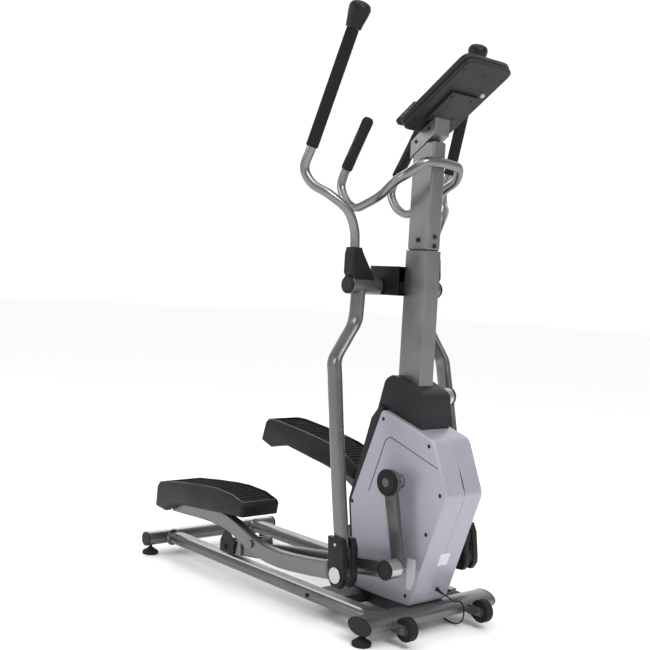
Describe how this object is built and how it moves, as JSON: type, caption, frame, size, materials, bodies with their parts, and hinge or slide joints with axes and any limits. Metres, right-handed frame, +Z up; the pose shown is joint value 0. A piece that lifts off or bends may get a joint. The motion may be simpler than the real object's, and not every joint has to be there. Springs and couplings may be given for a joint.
{
  "type": "elliptical trainer",
  "caption": "Front-drive elliptical trainer with swinging handles, roller-guided pedal arms, a fixed pulse bar and a tilted console.",
  "frame": {"origin": "floor level, under the middle of the machine's length and width", "axes": "+X forwards towards the drive end, +Y to the standing user's left, +Z up"},
  "size_m": [1.12, 0.6096, 1.6312],
  "materials": {
    "frame_paint": "satin gunmetal metallic paint",
    "column_paint": "satin silver metallic paint",
    "bare_steel": "brushed",
    "chrome": "polished",
    "black_plastic": "matte black",
    "charcoal_plastic": "matte charcoal",
    "silver_plastic": "satin silver-lavender",
    "grey_plastic": "satin light grey",
    "rubber": "matte black",
    "foam": "soft foam, fine grain"
  },
  "bodies": {
    "root": {"axle_cover": "black_plastic", "base_beam": "frame_paint", "column_lower": "column_paint", "console_back": "charcoal_plastic", "console_bracket": "column_paint", "console_face": "grey_plastic", "drive_belt": "rubber", "front_cap_left": "black_plastic", "front_cap_right": "black_plastic", "front_crossbar": "frame_paint", "housing_cover_left": "silver_plastic", "housing_cover_right": "silver_plastic", "inner_frame": "frame_paint", "lead": "rubber", "lead_coil": "rubber", "lead_gland": "rubber", "lead_plug": "rubber", "mast": "column_paint", "pivot_axle": "black_plastic", "pulse_bar": "chrome", "pulse_grip_left": "rubber", "pulse_grip_right": "rubber", "rail_left": "frame_paint", "rail_right": "frame_paint", "rear_cap_left": "black_plastic", "rear_cap_right": "black_plastic", "rear_crossbar": "frame_paint", "shroud": "charcoal_plastic"},
    "swing_arm_right": {"swing_arm_right": "frame_paint", "joint_cover_right": "black_plastic", "handle_right": "chrome", "handle_boot_right": "black_plastic", "grip_right": "foam"},
    "pedal_arm_right": {"pedal_arm_right": "frame_paint", "pedal_right": "black_plastic"},
    "rod_right": {"connecting_rod_right": "frame_paint"},
    "roller_right": {"roller_right": "rubber"},
    "wheel_right": {"transport_wheel_right": "rubber"},
    "foot_rear_right": {"foot_rear_right": "rubber"},
    "foot_front_right": {"foot_front_right": "rubber"},
    "swing_arm_left": {"swing_arm_left": "frame_paint", "joint_cover_left": "black_plastic", "handle_left": "chrome", "handle_boot_left": "black_plastic", "grip_left": "foam"},
    "pedal_arm_left": {"pedal_arm_left": "frame_paint", "pedal_left": "black_plastic"},
    "rod_left": {"connecting_rod_left": "frame_paint"},
    "roller_left": {"roller_left": "rubber"},
    "wheel_left": {"transport_wheel_left": "rubber"},
    "foot_rear_left": {"foot_rear_left": "rubber"},
    "foot_front_left": {"foot_front_left": "rubber"},
    "crankset": {"crank_axle": "bare_steel", "crank_right": "bare_steel", "crank_left": "bare_steel", "hub_cap_right": "black_plastic", "hub_cap_left": "black_plastic"},
    "flywheel": {"flywheel": "bare_steel"},
    "button_1": {"console_button_1": "black_plastic"},
    "button_2": {"console_button_2": "black_plastic"}
  },
  "joints": [
    {"name": "crank_turn", "type": "hinge", "parent": "root", "child": "crankset", "pos_m": [0.39225, 0, 0.393], "axis": [0, -1, 0], "range_deg": [-15, 15]},
    {"name": "flywheel_spin", "type": "hinge", "parent": "root", "child": "flywheel", "pos_m": [0.34925, 0, 0.2], "axis": [0, -1, 0], "range_deg": [-73.64, 73.64]},
    {"name": "swing_right", "type": "hinge", "parent": "root", "child": "swing_arm_right", "pos_m": [0.25625, -0.135, 0.904], "axis": [0, -1, 0], "range_deg": [-4.26, 4.26]},
    {"name": "pedal_pivot_right", "type": "hinge", "parent": "swing_arm_right", "child": "pedal_arm_right", "pos_m": [0.33553, -0.205, 0.14996], "axis": [0, -1, 0], "range_deg": [-3.85, 3.85]},
    {"name": "rod_pivot_right", "type": "hinge", "parent": "pedal_arm_right", "child": "rod_right", "pos_m": [-0.04081, -0.19, 0.14303], "axis": [0, -1, 0], "range_deg": [-0.71, 0.71]},
    {"name": "roller_spin_right", "type": "hinge", "parent": "rod_right", "child": "roller_right", "pos_m": [-0.19918, -0.169, 0.095], "axis": [0, -1, 0], "range_deg": [-140.88, 140.88]},
    {"name": "wheel_spin_right", "type": "hinge", "parent": "root", "child": "wheel_right", "pos_m": [0.51725, -0.146, 0.048], "axis": [0, -1, 0], "continuous": true},
    {"name": "foot_rear_turn_right", "type": "hinge", "parent": "root", "child": "foot_rear_right", "pos_m": [-0.53475, -0.24, 0.008], "axis": [0, 0, 1], "continuous": true},
    {"name": "foot_front_turn_right", "type": "hinge", "parent": "root", "child": "foot_front_right", "pos_m": [0.44425, -0.23, 0.008], "axis": [0, 0, 1], "continuous": true},
    {"name": "swing_left", "type": "hinge", "parent": "root", "child": "swing_arm_left", "pos_m": [0.25625, 0.135, 0.904], "axis": [0, -1, 0], "range_deg": [-5.28, 5.28]},
    {"name": "pedal_pivot_left", "type": "hinge", "parent": "swing_arm_left", "child": "pedal_arm_left", "pos_m": [0.39567, 0.205, 0.15873], "axis": [0, -1, 0], "range_deg": [-3.72, 3.72]},
    {"name": "rod_pivot_left", "type": "hinge", "parent": "pedal_arm_left", "child": "rod_left", "pos_m": [0.02833, 0.19, 0.24082], "axis": [0, -1, 0], "range_deg": [-0.232, 0.232]},
    {"name": "roller_spin_left", "type": "hinge", "parent": "rod_left", "child": "roller_left", "pos_m": [-0.04994, 0.169, 0.095], "axis": [0, -1, 0], "range_deg": [-175.65, 175.65]},
    {"name": "wheel_spin_left", "type": "hinge", "parent": "root", "child": "wheel_left", "pos_m": [0.51725, 0.146, 0.048], "axis": [0, -1, 0], "continuous": true},
    {"name": "foot_rear_turn_left", "type": "hinge", "parent": "root", "child": "foot_rear_left", "pos_m": [-0.53475, 0.24, 0.008], "axis": [0, 0, 1], "continuous": true},
    {"name": "foot_front_turn_left", "type": "hinge", "parent": "root", "child": "foot_front_left", "pos_m": [0.44425, 0.23, 0.008], "axis": [0, 0, 1], "continuous": true},
    {"name": "button_press_1", "type": "slide", "parent": "root", "child": "button_1", "axis": [0.565, 0, -0.8251], "range_m": [0, 0.002], "stiffness_N_per_m": 400, "springref_m": -0.0005},
    {"name": "button_press_2", "type": "slide", "parent": "root", "child": "button_2", "axis": [0.565, 0, -0.8251], "range_m": [0, 0.002], "stiffness_N_per_m": 400, "springref_m": -0.0005}
  ],
  "couplings": [
    {"joint": "flywheel_spin", "follows": "crank_turn", "ratio": 4.9091},
    {"joint": "swing_right", "follows": "crank_turn", "ratio": 0.28413},
    {"joint": "pedal_pivot_right", "follows": "crank_turn", "ratio": -0.2565},
    {"joint": "rod_pivot_right", "follows": "crank_turn", "ratio": 0.04744},
    {"joint": "roller_spin_right", "follows": "crank_turn", "ratio": -9.3919},
    {"joint": "swing_left", "follows": "crank_turn", "ratio": -0.35194},
    {"joint": "pedal_pivot_left", "follows": "crank_turn", "ratio": 0.24814},
    {"joint": "rod_pivot_left", "follows": "crank_turn", "ratio": -0.01536},
    {"joint": "roller_spin_left", "follows": "crank_turn", "ratio": 11.71}
  ]
}
